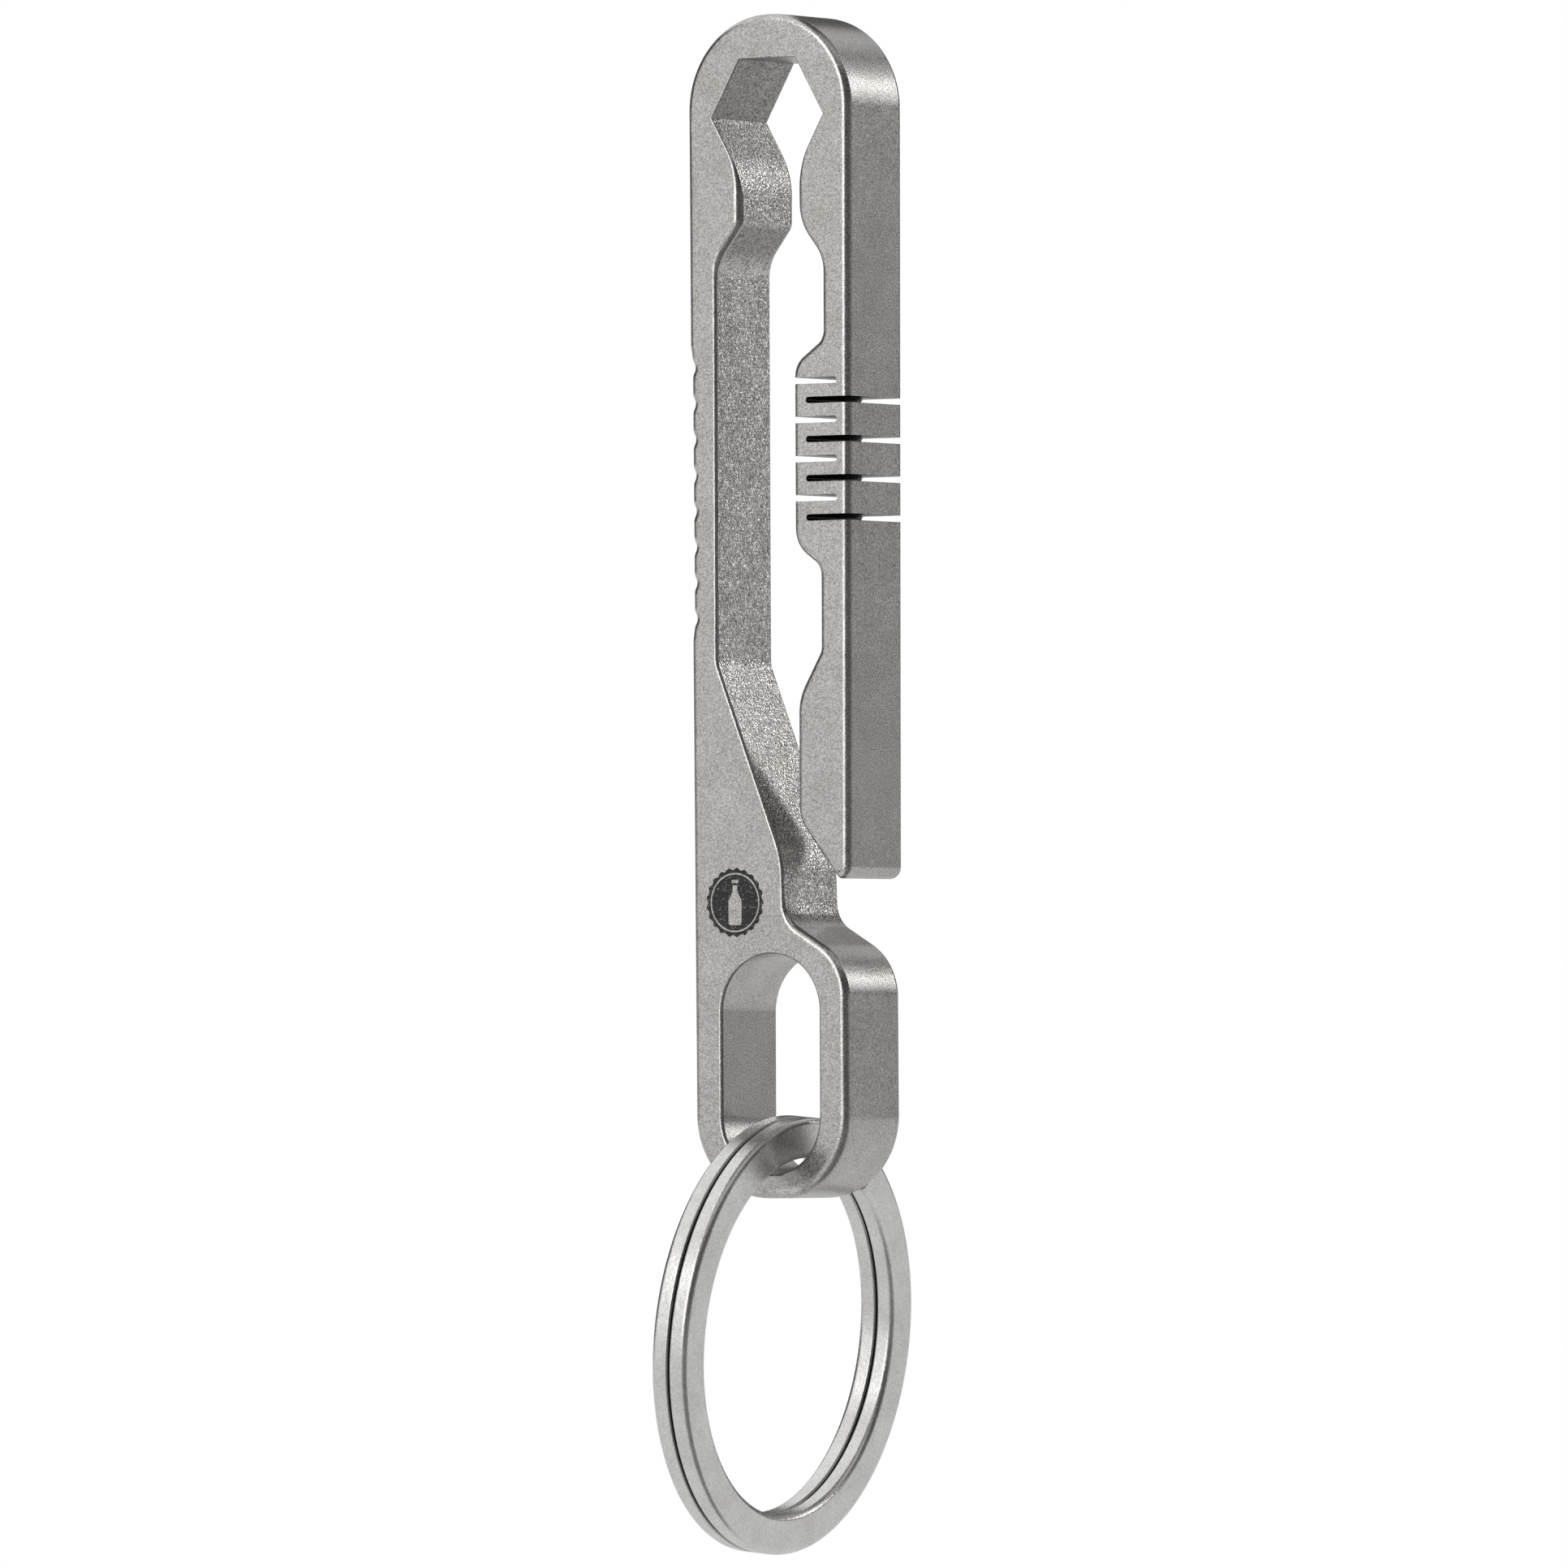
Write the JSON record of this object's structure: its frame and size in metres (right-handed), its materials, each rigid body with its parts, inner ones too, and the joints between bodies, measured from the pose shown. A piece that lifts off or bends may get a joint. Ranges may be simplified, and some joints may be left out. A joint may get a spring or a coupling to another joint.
{
  "type": "keychain bottle opener",
  "caption": "Slim one-piece titanium bottle opener with a hex bit socket, a sprung pocket-clip gate on a meander flexure, and a ring eye holding a split ring.",
  "frame": {"origin": "middle of the hex socket's top flat, half way through the plate", "axes": "+Z from the ring eye to the rounded head, -Y out of the front face, +X towards the gate arm"},
  "size_m": [0.0108, 0.0242, 0.0849],
  "materials": {
    "blasted_metal": "bead-blasted titanium, matte grey with a fine grain and lighter worn edges",
    "ring_satin_metal": "satin titanium, tumbled"
  },
  "bodies": {
    "spine": {"spine_frame": "blasted_metal"},
    "leaf_1": {"flexure_leaf_1": "blasted_metal"},
    "leaf_2": {"flexure_leaf_2": "blasted_metal"},
    "leaf_3": {"flexure_leaf_3": "blasted_metal"},
    "leaf_4": {"flexure_leaf_4": "blasted_metal"},
    "leaf_5": {"flexure_leaf_5": "blasted_metal"},
    "leaf_6": {"flexure_leaf_6": "blasted_metal"},
    "leaf_7": {"flexure_leaf_7": "blasted_metal"},
    "gate": {"gate_arm": "blasted_metal"},
    "key_ring": {"split_ring": "ring_satin_metal"}
  },
  "joints": [
    {"name": "gate_flex_1", "type": "hinge", "parent": "spine", "child": "leaf_1", "pos_m": [0.005, 0, -0.01785], "axis": [0, 1, 0], "range_deg": [-0.2, 0.65]},
    {"name": "gate_flex_2", "type": "hinge", "parent": "leaf_1", "child": "leaf_2", "pos_m": [0.00207, 0, -0.01893], "axis": [0, 1, 0], "range_deg": [-0.2, 0.65]},
    {"name": "gate_flex_3", "type": "hinge", "parent": "leaf_2", "child": "leaf_3", "pos_m": [0.005, 0, -0.02], "axis": [0, 1, 0], "range_deg": [-0.2, 0.65]},
    {"name": "gate_flex_4", "type": "hinge", "parent": "leaf_3", "child": "leaf_4", "pos_m": [0.00207, 0, -0.02108], "axis": [0, 1, 0], "range_deg": [-0.2, 0.65]},
    {"name": "gate_flex_5", "type": "hinge", "parent": "leaf_4", "child": "leaf_5", "pos_m": [0.005, 0, -0.02216], "axis": [0, 1, 0], "range_deg": [-0.2, 0.65]},
    {"name": "gate_flex_6", "type": "hinge", "parent": "leaf_5", "child": "leaf_6", "pos_m": [0.00207, 0, -0.02323], "axis": [0, 1, 0], "range_deg": [-0.2, 0.65]},
    {"name": "gate_flex_7", "type": "hinge", "parent": "leaf_6", "child": "leaf_7", "pos_m": [0.005, 0, -0.02431], "axis": [0, 1, 0], "range_deg": [-0.2, 0.65]},
    {"name": "gate_flex_8", "type": "hinge", "parent": "leaf_7", "child": "gate", "pos_m": [0.00207, 0, -0.02539], "axis": [0, 1, 0], "range_deg": [-0.2, 0.65]},
    {"name": "ring_swing", "type": "hinge", "parent": "spine", "child": "key_ring", "pos_m": [0, 0.0027, -0.06148], "axis": [-0.9939, -0.0608, 0.0924], "range_deg": [-5, 65]}
  ],
  "couplings": [
    {"joint": "gate_flex_1", "follows": "gate_flex_8", "ratio": 1},
    {"joint": "gate_flex_2", "follows": "gate_flex_8", "ratio": 1},
    {"joint": "gate_flex_3", "follows": "gate_flex_8", "ratio": 1},
    {"joint": "gate_flex_4", "follows": "gate_flex_8", "ratio": 1},
    {"joint": "gate_flex_5", "follows": "gate_flex_8", "ratio": 1},
    {"joint": "gate_flex_6", "follows": "gate_flex_8", "ratio": 1},
    {"joint": "gate_flex_7", "follows": "gate_flex_8", "ratio": 1}
  ]
}
